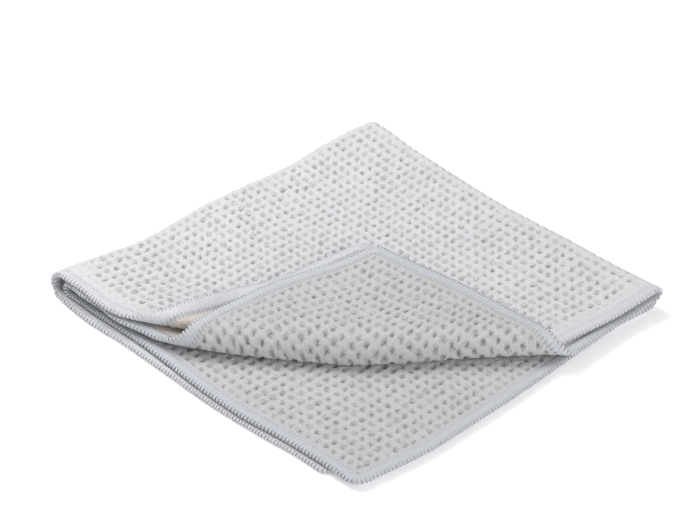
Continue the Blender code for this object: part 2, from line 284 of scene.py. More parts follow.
def fold_b(s, t, depth, half_pitch, side):
    """Second fold: the folded x and z, the height of the upper packet, and who is in it."""
    straight_from_fold = np.maximum(np.abs(s) - FOLD_B_PUFF_START, 0)
    packet_radius = half_pitch + LAYER_PITCH / 2
    hem_share = np.exp(-((SIDE / 2 - np.abs(t)) / FOLD_B_HEM_LENGTH) ** 2)
    puff = FOLD_B_PUFF + FOLD_B_HEM_PUFF * hem_share
    radius = packet_radius + puff * np.exp(-(straight_from_fold / FOLD_B_PUFF_LENGTH) ** 2)
    end_radius = packet_radius + puff
    nesting = smooth_step(0, FOLD_B_NEST_LENGTH, depth)
    quarter = np.pi / 2 * (end_radius - side * nesting)
    angle = np.clip(s / quarter, -1, 1) * np.pi / 2
    straight = np.maximum(np.abs(s) - quarter, 0)
    outermost = end_radius + half_pitch
    reach = np.where(straight > 0, outermost + straight, outermost - (radius - side) * np.cos(angle))
    fold_height = SOLID_THICKNESS / 2 + radius + half_pitch
    z = fold_height + (radius - side) * np.sin(angle)
    is_upper = (s > 0) & (straight > 0)
    return reach - FOLD_B_LINE, z, fold_height + radius, is_upper


def draw_edges(s, t, x, y):
    """Moves the folded points so that the edges and folds bow as soft cloth does."""
    fade_s = smooth_step(*EDGE_FADE, np.abs(s))
    fade_t = smooth_step(*EDGE_FADE, np.abs(t))
    left_outer = smooth_curve(LEFT_EDGE_OUTER_LAYERS, s)
    left_inner = smooth_curve(LEFT_EDGE_INNER_LAYERS, s)
    right_upper = smooth_curve(RIGHT_EDGE_UPPER_LAYERS, t)
    right_lower = smooth_curve(RIGHT_EDGE_LOWER_LAYERS, t)
    x = x + smooth_curve(FOLD_B_BOW, y) * smooth_step(*FOLD_B_BOW_FADE, x)
    y = y + smooth_curve(FOLD_A_BOW, x) * smooth_step(*FOLD_A_BOW_FADE, y)
    x = x + np.where(s > 0, right_upper, right_lower) * fade_s
    slip = smooth_step(INNER_LOOP_REACH[0], 0, np.abs(s))
    slip = slip * smooth_step(INNER_LOOP_REACH[1], 0, SIDE / 2 - t)
    x = x + INNER_LOOP_SLIP * slip
    y = y + np.where(t < 0, left_outer, left_inner) * fade_t
    return x, y


def top_hem_lift(s, t):
    """Height that the top layer's right hem springs up by."""
    start = SIDE / 2 - HEM_LIFT_LENGTH
    right_hem = smooth_step(start, SIDE / 2, s) * smooth_step(0, HEM_LIFT_FADE, -t)
    return HEM_LIFT * np.where((s > 0) & (t < 0), right_hem, 0)


def roll_profile(run, front_radius, back_radius, rest_height):
    """The roll in section: how far ahead, how high and how far turned a point at a run along it is.

    A tight front, a wider back that passes level by the dip, a straight fall, and a landing.
    """
    front_run = TURN_FRONT_ANGLE * front_radius
    full_angle = np.pi + TURN_DIP
    back_run = (full_angle - TURN_FRONT_ANGLE) * back_radius
    top = front_radius * (1 - np.cos(TURN_FRONT_ANGLE))
    top = top + back_radius * (np.cos(TURN_FRONT_ANGLE) - np.cos(full_angle))
    drop = np.maximum(top - rest_height, LEAST_DROP)
    landing_drop = TURN_LANDING_RADIUS * (1 - np.cos(TURN_DIP))
    landing_radius = np.minimum(TURN_LANDING_RADIUS, drop / (1 - np.cos(TURN_DIP)))
    fall_run = np.maximum(drop - landing_drop, 0) / np.sin(TURN_DIP)

    front = np.clip(run, 0, front_run) / front_radius
    back = TURN_FRONT_ANGLE + np.clip(run - front_run, 0, back_run) / back_radius
    fall = np.clip(run - front_run - back_run, 0, fall_run)
    past = run - front_run - back_run - fall_run
    landing = np.clip(past / landing_radius, 0, TURN_DIP)
    level = np.maximum(past - landing_radius * TURN_DIP, 0)

    forward = front_radius * np.sin(front)
    forward = forward + back_radius * (np.sin(back) - np.sin(TURN_FRONT_ANGLE))
    forward = forward + fall * np.cos(full_angle) - level
    forward = forward + landing_radius * (np.sin(full_angle) - np.sin(full_angle - landing))
    height = front_radius * (1 - np.cos(front))
    height = height + back_radius * (np.cos(TURN_FRONT_ANGLE) - np.cos(back))
    height = height + fall * np.sin(full_angle)
    height = height + landing_radius * (np.cos(full_angle - landing) - np.cos(full_angle))
    angle = np.where(run < front_run, front, back - landing)
    return forward, height, angle


def turn_back(x, y, z, packet_height, is_upper, hem_lift):
    """Third fold: the upper packet's front corner turns back over a roll across the diagonal."""
    across = (x + y) / np.sqrt(2)
    ahead = (x - y) / np.sqrt(2)
    side = z - packet_height
    roll = {}
    for column, name in enumerate(TURN_COLUMNS):
        inner = smooth_curve(INNER_TURN_ROWS, across, column)
        outer = smooth_curve(OUTER_TURN_ROWS, across, column)
        roll[name] = np.where(side > 0, inner, outer)
    start = roll["start"]
    section = (roll["front_radius"], roll["back_radius"], 2 * np.abs(side) + FLAP_REST)

    past_start = np.maximum(ahead - start, 0)
    run = past_start
    for _ in range(TURN_ROUNDS):
        angle = roll_profile(run, *section)[2]
        run = np.maximum(past_start + side * angle, 0)
    forward, height, angle = roll_profile(run, *section)

    is_turned = is_upper & (ahead > start)
    flat_ahead = ahead
    forward = forward - side * np.sin(angle)
    forward = np.where(forward < 0, forward * FLAP_STRETCH, forward)
    ahead = np.where(is_turned, start + forward, ahead)
    across = np.where(is_turned, across + FLAP_SKEW * np.maximum(-forward, 0), across)
    z = np.where(is_turned, packet_height + height + side * np.cos(angle), z)
    z = z + roll["lift"] * smooth_step(-LIFT_LENGTH, 0, ahead - start) * is_upper
    z = z + hem_lift * smooth_step(0, HEM_LIFT_LENGTH, start - flat_ahead)
    return (across + ahead) / np.sqrt(2), (across - ahead) / np.sqrt(2), z


def folded_place(s, t):
    """Takes points of the flat cloth's middle layer to their places in the folded towel."""
    depth, half_pitch, side = fold_a(t)
    x, z, packet_height, is_upper = fold_b(s + FOLD_B_OFFSET, t, depth, half_pitch, side)
    x, y = draw_edges(s, t, x, FOLD_A_LINE - depth)
    x, y, z = turn_back(x, y, z, packet_height, is_upper, top_hem_lift(s, t))
    return np.stack([x - PACKET_MIDDLE[0], y - PACKET_MIDDLE[1], z + REST_LIFT], axis=1)


def curl_hem(s, t, height):
    """Bends the top layer's left hem towards face Q, as a flat strip with a round bend at its foot."""
    full_turn = np.radians(smooth_curve(TOP_HEM_CURL, s) / MM)
    past_start = np.maximum(HEM_CURL_START - (SIDE / 2 + t), 0)
    turn = np.minimum(past_start / HEM_CURL_RADIUS, full_turn)
    straight = past_start - HEM_CURL_RADIUS * turn
    out = HEM_CURL_RADIUS * np.sin(turn) + straight * np.cos(turn)
    down = HEM_CURL_RADIUS * (1 - np.cos(turn)) + straight * np.sin(turn)
    t = t + past_start - out - np.sin(turn) * height
    return t, np.cos(turn) * height - down


def fold_in_place(piece):
    """Moves every point of a flat piece to the folded towel, its height kept square to the cloth."""
    count = len(piece.data.vertices)
    flat = np.empty(count * 3)
    piece.data.vertices.foreach_get("co", flat)
    s, t, height = flat.reshape(count, 3).T
    t, height = curl_hem(s, t, height)
    near = 0.0001  # the cloth's own slopes are taken over twice this
    along_s = folded_place(s + near, t) - folded_place(s - near, t)
    along_t = folded_place(s, t + near) - folded_place(s, t - near)
    outward = np.cross(along_s, along_t)
    outward /= np.linalg.norm(outward, axis=1, keepdims=True)
    folded = folded_place(s, t) + outward * height[:, None]
    piece.data.vertices.foreach_set("co", folded.ravel())
    piece.data.update()


# ---- the flat cloth

def diagonal_place(s, t):
    """How far past its layer's middle a point is, towards the open corner, and how far across."""
    return (np.abs(s) + np.abs(t) - SIDE / 2) / np.sqrt(2), (np.abs(s) - np.abs(t)) / np.sqrt(2)


def past_roll_start(s, t):
    """How far past the roll's start a point is, towards the open corner."""
    past_middle, across = diagonal_place(s, t)
    return past_middle - smooth_curve(OUTER_TURN_ROWS, across, 1)


def steps_of_shown_face(s, t):
    """How many steps a cell of face P is cut into each way."""
    past_middle, across = diagonal_place(s, t)
    past_start = float(past_roll_start(s, t))
    if max(abs(s), abs(t)) > SIDE / 2 - HEM_WIDTH:
        return HEM_STEPS
    if min(abs(s), abs(t)) < WAFFLE_PITCH:
        is_inner_loop = t > WAFFLE_PITCH
        return HEM_STEPS if is_inner_loop else FINE_STEPS
    if s > 0 > t:
        if past_start > -ROLL_MARGIN:
            return HEM_STEPS if past_start < ROLL_BEND else HIDDEN_STEPS
        is_under_flap = past_middle > abs(across) - FLAP_COVER
        return HIDDEN_STEPS if is_under_flap else FINE_STEPS
    if t > 0:
        is_shown = past_start > (-ROLL_MARGIN if s > 0 else 0)
        return FINE_STEPS if is_shown else HIDDEN_STEPS
    return COARSE_STEPS


def steps_of_hidden_face(s, t):
    """The same for a cell of face Q."""
    is_hem = max(abs(s), abs(t)) > SIDE / 2 - HEM_WIDTH
    is_in_fold = min(abs(s), abs(t)) < 1.5 * WAFFLE_PITCH
    is_in_roll = s > 0 and HIDDEN_ROLL_BEND[0] < past_roll_start(s, t) < HIDDEN_ROLL_BEND[1]
    return HEM_STEPS if is_hem or is_in_fold or is_in_roll else HIDDEN_STEPS


def fine_lines():
    """Places of the finest lines along one side of the flat cloth: hem, waffle cells, hem."""
    edge = SIDE / 2 - RIM_DEPTH
    waffle = SIDE / 2 - HEM_WIDTH
    across_hem = np.linspace(0, edge - waffle, FINE_STEPS, endpoint=False)
    lines = list(-edge + across_hem)
    for cell in range(WAFFLE_CELLS):
        lines += [-waffle + WAFFLE_PITCH * (cell + place) for place in STEP_PLACES]
    return np.array(lines + list(waffle + across_hem) + [edge])


def cell_faces(steps, column, row):
    """The faces of one cell, as rings of fine lines' numbers, with its finer neighbours' points."""
    own = steps[column, row]
    last = len(steps) - 1
    step = FINE_STEPS // own
    beside = {
        "bottom": steps[column, max(row - 1, 0)], "top": steps[column, min(row + 1, last)],
        "left": steps[max(column - 1, 0), row], "right": steps[min(column + 1, last), row],
    }
    base_i, base_j = column * FINE_STEPS, row * FINE_STEPS

    def places(start, end, other):
        way = 1 if end > start else -1
        return [k for k in range(start, end, way)
                if k % step == 0 or k % (FINE_STEPS // other) == 0]

    for i in range(0, FINE_STEPS, step):
        for j in range(0, FINE_STEPS, step):
            i_end, j_end = i + step, j + step
            bottom = beside["bottom"] if j == 0 else own
            top = beside["top"] if j_end == FINE_STEPS else own
            left = beside["left"] if i == 0 else own
            right = beside["right"] if i_end == FINE_STEPS else own
            face = [(k, j) for k in places(i, i_end, bottom)]
            face += [(i_end, k) for k in places(j, j_end, right)]
            face += [(k, j_end) for k in places(i_end, i, top)]
            face += [(i, k) for k in places(j_end, j, left)]
            yield [(base_i + a, base_j + b) for a, b in face]


def cloth_height(s, t, top):
    """Half the cloth's thickness: thin at the hem, then swelling to the ridges' top."""
    in_from_edge = SIDE / 2 - np.maximum(np.abs(s), np.abs(t))
    return HEM_CLOTH_HEIGHT + (top - HEM_CLOTH_HEIGHT) * smooth_step(*HEM_BANK, in_from_edge)


def flat_cloth():
    """The closed flat sheet: face P, face Q and the rounded rim between them."""
    lines = fine_lines()
    cells = (len(lines) - 1) // FINE_STEPS
    middles = (lines[:-1:FINE_STEPS] + lines[FINE_STEPS::FINE_STEPS]) / 2
    corners, faces, side_of = [], [], []
    index_of = {}

    def corner(face_side, i, j):
        if (face_side, i, j) not in index_of:
            index_of[face_side, i, j] = len(corners)
            corners.append((lines[i], lines[j]))
            side_of.append(face_side)
        return index_of[face_side, i, j]

    for face_side, rule in ((1, steps_of_shown_face), (-1, steps_of_hidden_face)):
        steps = np.array([[rule(s, t) for t in middles] for s in middles])
        for column in range(cells):
            for row in range(cells):
                for face in cell_faces(steps, column, row):
                    ring = [corner(face_side, i, j) for i, j in face]
                    faces.append(ring if face_side > 0 else ring[::-1])

    square = np.array(corners)
    side_of = np.array(side_of)
    s, t = round_corners(*square.T)
    top = np.where(side_of > 0, RIDGE_HEIGHT, HIDDEN_FACE_HEIGHT)
    heights = cloth_height(*square.T, top) * side_of
    points = np.stack([s, t, heights], axis=1)

    # the rim: rings of points between the two faces' borders, in the same order all round
    last = len(lines) - 1
    walk = range(0, last, FINE_STEPS // HEM_STEPS)
    border = [(i, 0) for i in walk] + [(last, j) for j in walk]
    border += [(last - i, last) for i in walk] + [(0, last - j) for j in walk]
    rings = [[index_of[1, i, j] for i, j in border]]
    rim_points = []
    for turn in (-45, 0, 45):
        out = RIM_DEPTH * np.cos(np.radians(turn))
        height = HEM_CLOTH_HEIGHT * np.sin(np.radians(-turn))
        grown = np.array([(lines[i], lines[j]) for i, j in border]) * (1 + out / lines[-1])
        on_side = np.abs(grown) < lines[-1]
        flat = np.where(on_side, grown / (1 + out / lines[-1]), grown)
        s, t = round_corners(*flat.T)
        start = len(points) + sum(len(p) for p in rim_points)
        rings.append(list(range(start, start + len(border))))
        rim_points.append(np.stack([s, t, np.full(len(s), height)], axis=1))
    rings.append([index_of[-1, i, j] for i, j in border])
    points = np.concatenate([points, *rim_points])
    for upper, lower in zip(rings, rings[1:]):
        for a in range(len(border)):
            b = (a + 1) % len(border)
            faces.append((upper[b], upper[a], lower[a], lower[b]))

    sheet = bpy.data.meshes.new("dish_towel_flat")
    sheet.from_pydata(points.tolist(), [], faces)
    flat_s, flat_t = points[:, :2].T
    on_faces = len(side_of)
    waffle = np.zeros(len(points))
    waffle[:on_faces] = waffle_strength(flat_s[:on_faces], flat_t[:on_faces], side_of)
    sheet.attributes.new("waffle_strength", "FLOAT", "POINT").data.foreach_set("value", waffle)
    hem = np.stack([*hem_place(flat_s, flat_t), needle_hole_strength(flat_s, flat_t)], axis=1)
    sheet.attributes.new("hem_place", "FLOAT_VECTOR", "POINT").data.foreach_set("vector", hem.ravel())
    return new_object("dish_towel", sheet)


def hem_place(s, t):
    """How many stitches along its side of the hem a point is, and how far in from the edge."""
    across_s = np.abs(s) > np.abs(t)
    along = np.where(across_s, np.sign(s) * t, -np.sign(t) * s)
    quarter = SIDE - 2 * CORNER_RADIUS + np.pi / 2 * CORNER_RADIUS
    along = along + quarter - (SIDE / 2 - CORNER_RADIUS)
    return along / quarter * STITCHES_A_SIDE, SIDE / 2 - np.maximum(np.abs(s), np.abs(t))


def needle_hole_strength(s, t):
    """Needle holes show where the turned-back corner stretches the hem, and hardly elsewhere."""
    stretched = smooth_step(*NEEDLE_FADE, past_roll_start(s, t)) * (s > 0)
    return NEEDLE_FAINT + NEEDLE_STRETCHED * stretched


def waffle_strength(s, t, side_of):
    """How deep the pits are pressed: 0 at the hems, about 1 on face P, and below 0 on face Q."""
    in_from_s = SIDE / 2 - np.abs(s)
    in_from_t = SIDE / 2 - np.abs(t)
    is_top_layer = (s > 0) & (t < 0)
    start, end = (np.where(is_top_layer, top, other) for top, other in zip(TOP_PIT_FADE, PIT_FADE))
    hems = smooth_step(start, end, in_from_s) * smooth_step(start, end, in_from_t)
    off_folds = smooth_step(*FOLD_FADE, np.minimum(np.abs(s), np.abs(t)))
    folds = FOLD_PIT_SHARE + (1 - FOLD_PIT_SHARE) * off_folds
    loop_corner = smooth_step(*LOOP_CORNER_FADE, np.hypot(np.maximum(s, 0), in_from_t))
    # the cloth is stretched over the turned-back corner's roll, and its pits are open there
    past_roll = past_roll_start(s, t)
    stretched = smooth_step(*STRETCH_START, past_roll) * smooth_step(*STRETCH_END, past_roll) * (s > 0)
    corner = np.where(is_top_layer, loop_corner, 1)
    strength = hems * folds * corner * (1 + STRETCH_GAIN * stretched)
    return np.where(side_of > 0, strength, -HIDDEN_PIT_SHARE * strength)


# ---- node trees

def add(tree, kind, inputs=None, **settings):
    """Adds a node, with its settings, and its inputs as values or as links from other nodes."""
    node = tree.nodes.new(kind)
    for name, value in settings.items():
        setattr(node, name, value)
    for name, value in (inputs or {}).items():
        if isinstance(value, bpy.types.Node):
            value = value.outputs[0]
        if isinstance(value, bpy.types.NodeSocket):
            tree.links.new(value, node.inputs[name])
        else:
            node.inputs[name].default_value = value
    return node


def calc(tree, operation, *values, **settings):
    """Adds a Math node."""
    return add(tree, "ShaderNodeMath", dict(enumerate(values)), operation=operation, **settings)


def calc_vector(tree, operation, *values):
    """Adds a Vector Math node."""
    return add(tree, "ShaderNodeVectorMath", dict(enumerate(values)), operation=operation)


def scaled(tree, vector, factor):
    """Adds a Vector Math node that scales."""
    return add(tree, "ShaderNodeVectorMath", {0: vector, "Scale": factor}, operation="SCALE")


def ramp(tree, value, start, end, kind="LINEAR"):
    """Adds a Map Range node: 0 at start and 1 at end."""
    inputs = {"Value": value, "From Min": start, "From Max": end}
    return add(tree, "ShaderNodeMapRange", inputs, interpolation_type=kind)


def noise(tree, place, lumps_a_metre, detail):
    """Adds a noise texture."""
    return add(tree, "ShaderNodeTexNoise", {"Vector": place, "Scale": lumps_a_metre, "Detail": detail})


def blend(tree, factor, first, second):
    """Adds a colour mix: the first at factor 0, the second at 1."""
    mix = add(tree, "ShaderNodeMix", {"Factor": factor, "A": first, "B": second}, data_type="RGBA")
    return mix.outputs["Result"]


def parts_of(tree, vector):
    """Adds the split of a vector into its three parts."""
    return add(tree, "ShaderNodeSeparateXYZ", {0: vector}).outputs


def new_object(name, data):
    """An object of the data, in the scene."""
    thing = bpy.data.objects.new(name, data)
    bpy.context.scene.collection.objects.link(thing)
    return thing


def new_tree(name, sizes):
    """A Geometry Nodes tree with a named input for each size, and its inputs' sockets."""
    tree = bpy.data.node_groups.new(name, "GeometryNodeTree")
    face = tree.interface
    face.new_socket("Geometry", in_out="INPUT", socket_type="NodeSocketGeometry")
    for size, value in sizes.items():
        kind = "NodeSocketInt" if isinstance(value, int) else "NodeSocketFloat"
        kind = "NodeSocketMaterial" if isinstance(value, bpy.types.Material) else kind
        face.new_socket(size, in_out="INPUT", socket_type=kind)
    face.new_socket("Geometry", in_out="OUTPUT", socket_type="NodeSocketGeometry")
    return tree, add(tree, "NodeGroupInput").outputs


def finish_tree(tree, geometry, material):
    """Ends a tree: instances made real, and the material set."""
    real = add(tree, "GeometryNodeRealizeInstances", {"Geometry": geometry})
    finish = add(tree, "GeometryNodeSetMaterial", {"Geometry": real, "Material": material})
    add(tree, "NodeGroupOutput", {"Geometry": finish})


def grow(piece, tree, sizes, name):
    """Runs a tree on a piece, and returns its result as a plain mesh object in the piece's stead."""
    modifier = piece.modifiers.new(tree.name, "NODES")
    modifier.node_group = tree
    for socket in tree.interface.items_tree:
        if socket.in_out == "INPUT" and socket.name in sizes:
            modifier[socket.identifier] = sizes[socket.name]
    bpy.context.view_layer.update()
    result = piece.evaluated_get(bpy.context.evaluated_depsgraph_get())
    mesh = bpy.data.meshes.new_from_object(result)
    mesh.name = name
    bpy.data.objects.remove(piece, do_unlink=True)
    return new_object(name, mesh)


def pit_pattern(tree, place, pitch, half_side, seed, raggedness):
    """Adds the square lattice of uneven pits, to the mesh's tree or to the material's.

    Gives how far a place is from its pit's middle, in pitches, and three chances of that pit's own.
    """
    corner = add(tree, "ShaderNodeCombineXYZ", {0: half_side, 1: half_side})
    from_corner = calc_vector(tree, "ADD", place, corner)
    per_pit = calc(tree, "DIVIDE", 1.0, pitch)
    cells = scaled(tree, from_corner, per_pit)
    cell = calc_vector(tree, "FLOOR", cells)
    inside = calc_vector(tree, "SUBTRACT", cells, cell)
    inside = calc_vector(tree, "SUBTRACT", inside, (0.5, 0.5, 0))

    # each pit is a little off its place, a little stretched along its own slant, and ragged
    own = add(tree, "ShaderNodeTexWhiteNoise", {"Vector": cell, "W": seed}, noise_dimensions="4D")
    swing = calc_vector(tree, "SUBTRACT", own.outputs["Color"], (0.5, 0.5, 0.5))
    shift = calc_vector(tree, "MULTIPLY", swing, (PIT_SHIFT, PIT_SHIFT, 0))
    inside = calc_vector(tree, "SUBTRACT", inside, shift)
    wobble = noise(tree, place, RAGGED_RIMS, 1.0).outputs["Color"]
    wobble = calc_vector(tree, "SUBTRACT", wobble, (0.5, 0.5, 0.5))
    wobble = scaled(tree, wobble, raggedness)
    inside = calc_vector(tree, "ADD", inside, wobble)
    chances = parts_of(tree, swing)
    # the cloth gives on the slant: its pits are longer along the diagonal to the square's middle
    shape = parts_of(tree, inside)
    s, t, _ = parts_of(tree, place)
    quarter = calc(tree, "SIGN", calc(tree, "MULTIPLY", s, t))
    mirrored = calc(tree, "MULTIPLY", shape[1], quarter)
    long = calc(tree, "ADD", shape[0], mirrored)
    wide = calc(tree, "SUBTRACT", shape[0], mirrored)
    long = calc(tree, "MULTIPLY", long, PIT_LONG / np.sqrt(2))
    wide = calc(tree, "MULTIPLY", wide, PIT_NARROW / np.sqrt(2))
    sheared = calc(tree, "MULTIPLY_ADD", long, chances[2], wide)
    far = [calc(tree, "ABSOLUTE", part) for part in (sheared, long)]
    far = [calc(tree, "POWER", part, PIT_CORNERS) for part in far]
    far = calc(tree, "ADD", far[0], far[1])
    far = calc(tree, "POWER", far, 1 / PIT_CORNERS)
    grown = calc(tree, "MULTIPLY_ADD", chances[0], SIZE_SWING, 1.0)
    return calc(tree, "MULTIPLY", far, grown), chances


def waffle_tree(sizes):
    """Presses the lattice of soft, uneven pits into the flat cloth, and swells its ridges."""
    tree, size = new_tree("waffle", sizes)
    place = add(tree, "GeometryNodeInputPosition")
    flat = calc_vector(tree, "MULTIPLY", place, (1, 1, 0))
    pitch, half_side = size["Pit pitch"], size["Waffle half side"]
    far, chances = pit_pattern(tree, flat, pitch, half_side, size["Pit seed"], PIT_RAGGED)
    far = calc(tree, "MULTIPLY", far, pitch)
    rim = calc(tree, "MULTIPLY", size["Pit width"], 0.5)
    floor = calc(tree, "MULTIPLY", rim, PIT_FLOOR_SHARE)
    pit = ramp(tree, far, rim, floor, "SMOOTHSTEP")
    depth = calc(tree, "MULTIPLY_ADD", chances[1], DEPTH_SWING, 1.0)
    pit = calc(tree, "MULTIPLY", pit, depth)
    strength = add(tree, "GeometryNodeInputNamedAttribute", {"Name": "waffle_strength"},
                   data_type="FLOAT")
    pit = calc(tree, "MULTIPLY", pit, strength)

    # soft lumps lie all over the ridges
    lumps = calc(tree, "SUBTRACT", noise(tree, place, SOFT_LUMPS, 2.0), LUMP_LEVEL)
    lumps = calc(tree, "MULTIPLY", lumps, size["Lump height"])
    lumps = calc(tree, "MULTIPLY", lumps, calc(tree, "SUBTRACT", strength, pit))
    rise = calc(tree, "SUBTRACT", lumps, calc(tree, "MULTIPLY", pit, size["Pit depth"]))
    move = add(tree, "ShaderNodeCombineXYZ", {2: rise})
    pressed = add(tree, "GeometryNodeSetPosition", {"Geometry": size["Geometry"], "Offset": move})
    finish_tree(tree, pressed, size["Material"])
    return tree


def edge_line():
    """The cut edge as a closed flat line, anticlockwise, with its round corners."""
    inner = SIDE / 2 - CORNER_RADIUS
    turns = np.radians(np.arange(0, 91, 7.5))
    points = []
    for quarter, middle in enumerate(((1, 1), (-1, 1), (-1, -1), (1, -1))):
        for turn in turns + quarter * np.pi / 2:
            around = np.array((np.cos(turn), np.sin(turn)))
            points.append((*(np.array(middle) * inner + CORNER_RADIUS * around), 0))
    line = bpy.data.meshes.new("edge_line")
    line.from_pydata(points, [(i, (i + 1) % len(points)) for i in range(len(points))], [])
    return new_object("edge_line", line)


def overlock_tree(sizes):
    """Lays two thread loops a stitch round the hem, and the second of them starts further in."""
    tree, size = new_tree("overlock", sizes)
    # one loop of thread: a long rounded ring round the hem, across the edge
    ring = add(tree, "GeometryNodeCurvePrimitiveQuadrilateral",
               {"Width": size["Seam width"], "Height": size["Seam height"]}, mode="RECTANGLE")
    rounding = calc(tree, "MULTIPLY", size["Seam height"], 0.49)  # nearly half: its ends are round
    ring = add(tree, "GeometryNodeFilletCurve", {"Curve": ring, "Radius": rounding, "Count": 2},
               mode="POLY")
    ring = add(tree, "GeometryNodeResampleCurve", {"Curve": ring, "Count": RING_POINTS})
    section = add(tree, "GeometryNodeCurvePrimitiveCircle",
                  {"Resolution": THREAD_SIDES, "Radius": size["Thread radius"]}).outputs["Curve"]
    section = add(tree, "GeometryNodeTransform", {"Geometry": section, "Rotation": (0, 0, np.pi / 4)})
    loop = add(tree, "GeometryNodeCurveToMesh", {"Curve": ring, "Profile Curve": section})
    half = calc(tree, "MULTIPLY", size["Seam width"], 0.5)
    inward = add(tree, "ShaderNodeCombineXYZ", {0: half})
    stand = add(tree, "GeometryNodeTransform", {"Geometry": loop, "Translation": inward})
    upright = add(tree, "GeometryNodeTransform",
                  {"Geometry": stand, "Rotation": (np.pi / 2, 0, np.pi / 2)})
    smooth = add(tree, "GeometryNodeSetShadeSmooth", {"Geometry": upright})

    line = add(tree, "GeometryNodeMeshToCurve", {"Mesh": size["Geometry"]})
    points = add(tree, "GeometryNodeCurveToPoints", {"Curve": line, "Count": size["Loops"]},
                 mode="COUNT")
    index = add(tree, "GeometryNodeInputIndex")
    second = calc(tree, "MODULO", index, 2.0)
    odd = calc(tree, "MULTIPLY_ADD", second, -2.0, 1.0)
    chance = add(tree, "FunctionNodeRandomValue",
                 {"Seed": size["Seed"], "ID": index, "Min": (-1, -1, -1), "Max": (1, 1, 1)},
                 data_type="FLOAT_VECTOR")
    uneven = parts_of(tree, chance)

    # the second loop starts a little further in, and the two lean towards one needle hole
    facing = add(tree, "FunctionNodeAlignRotationToVector", {"Vector": points.outputs["Tangent"]},
                 axis="X", pivot_axis="Z")
    lean = calc(tree, "MULTIPLY", odd, size["Lean"])
    lean = calc(tree, "MULTIPLY_ADD", uneven[0], LEAN_SWING, lean)
    spin = add(tree, "ShaderNodeCombineXYZ", {2: lean})
    turn = add(tree, "FunctionNodeRotateRotation", {"Rotation": facing, "Rotate By": spin},
               rotation_space="LOCAL")
    inset = calc(tree, "MULTIPLY", second, size["Second loop inset"])
    inset = calc(tree, "MULTIPLY_ADD", uneven[1], INSET_SWING, inset)
    inset = calc(tree, "SUBTRACT", inset, size["Reach"])
    across = calc_vector(tree, "CROSS_PRODUCT", (0, 0, 1), points.outputs["Tangent"])
    move = scaled(tree, across, inset)
    placed = add(tree, "GeometryNodeSetPosition", {"Geometry": points, "Offset": move})
    width = calc(tree, "MULTIPLY_ADD", uneven[2], SPREAD_SWING, LOOP_SPREAD)
    shorter = calc(tree, "MULTIPLY_ADD", second, SECOND_LOOP_LENGTH - 1, 1.0)
    # where loops overlap, one lies a hair over the other
    taller = calc(tree, "MULTIPLY_ADD", second, SECOND_LOOP_DROP, FIRST_LOOP_HEIGHT)
    taller = calc(tree, "MULTIPLY_ADD", uneven[1], HEIGHT_SWING, taller)
    scale = add(tree, "ShaderNodeCombineXYZ", {0: width, 1: shorter, 2: taller})
    loops = add(tree, "GeometryNodeInstanceOnPoints", {
        "Points": placed, "Instance": smooth, "Rotation": turn, "Scale": scale})
    finish_tree(tree, loops, size["Material"])
    return tree


# ---- materials

# Painted shade in a pit darkens from its rim, and once more at its core: distances from its middle, in
# pitches
HOLLOW_EDGES, CORE_EDGES = (0.38, 0.20), (0.20, 0.05)
HOLLOW_SHARE, CORE_SWING, PIT_SHADE = 0.75, 0.9, 0.30
SHADE_BREAKUP_LEVELS, SHADE_BREAKUP_GAINS = (0.35, 0.65), (0.4, 1.6)
# painted shade: one half of the square, t above 0, is coloured greyer, in the cloth and in its threads
HALF_LINE = 0.002  # the greyer half sets in over this much to each side of the middle
HALF_SHADE_SHARE, PATCH_SHARE = 0.6, 0.4
FUZZ_BUMP, PIT_BUMP, SLIT_BUMP = 0.35, -0.4, -0.8  # beside the yarn's own
THREAD_HALF_SHADE_SHARE, THREAD_PATCH_SHARE = -0.8, -0.35


def linear(colour):
    """An sRGB hex colour as linear RGBA."""
    parts = [int(colour[i:i + 2], 16) / 255 for i in (1, 3, 5)]
    return (*(p / 12.92 if p <= 0.04045 else ((p + 0.055) / 1.055) ** 2.4 for p in parts), 1.0)


def new_material(name, values):
    """A material with single values on its Principled shader, its tree, and that shader."""
    material = bpy.data.materials.new(name)
    material.use_nodes = True
    shader = material.node_tree.nodes["Principled BSDF"]
    for socket, value in values.items():
        shader.inputs[socket].default_value = value
    return material, material.node_tree, shader


def shaded_half(tree):
    """Adds the flat place from the UV map, and 1 on the half of the square that is painted greyer as
    shade.
    """
    unit_square = add(tree, "ShaderNodeUVMap", uv_map="flat_cloth")
    corner = (-SIDE / 2, -SIDE / 2, 0)
    place = calc_vector(tree, "MULTIPLY_ADD", unit_square, (SIDE, SIDE, 0), corner)
    return place, ramp(tree, parts_of(tree, place)[1], -HALF_LINE, HALF_LINE)


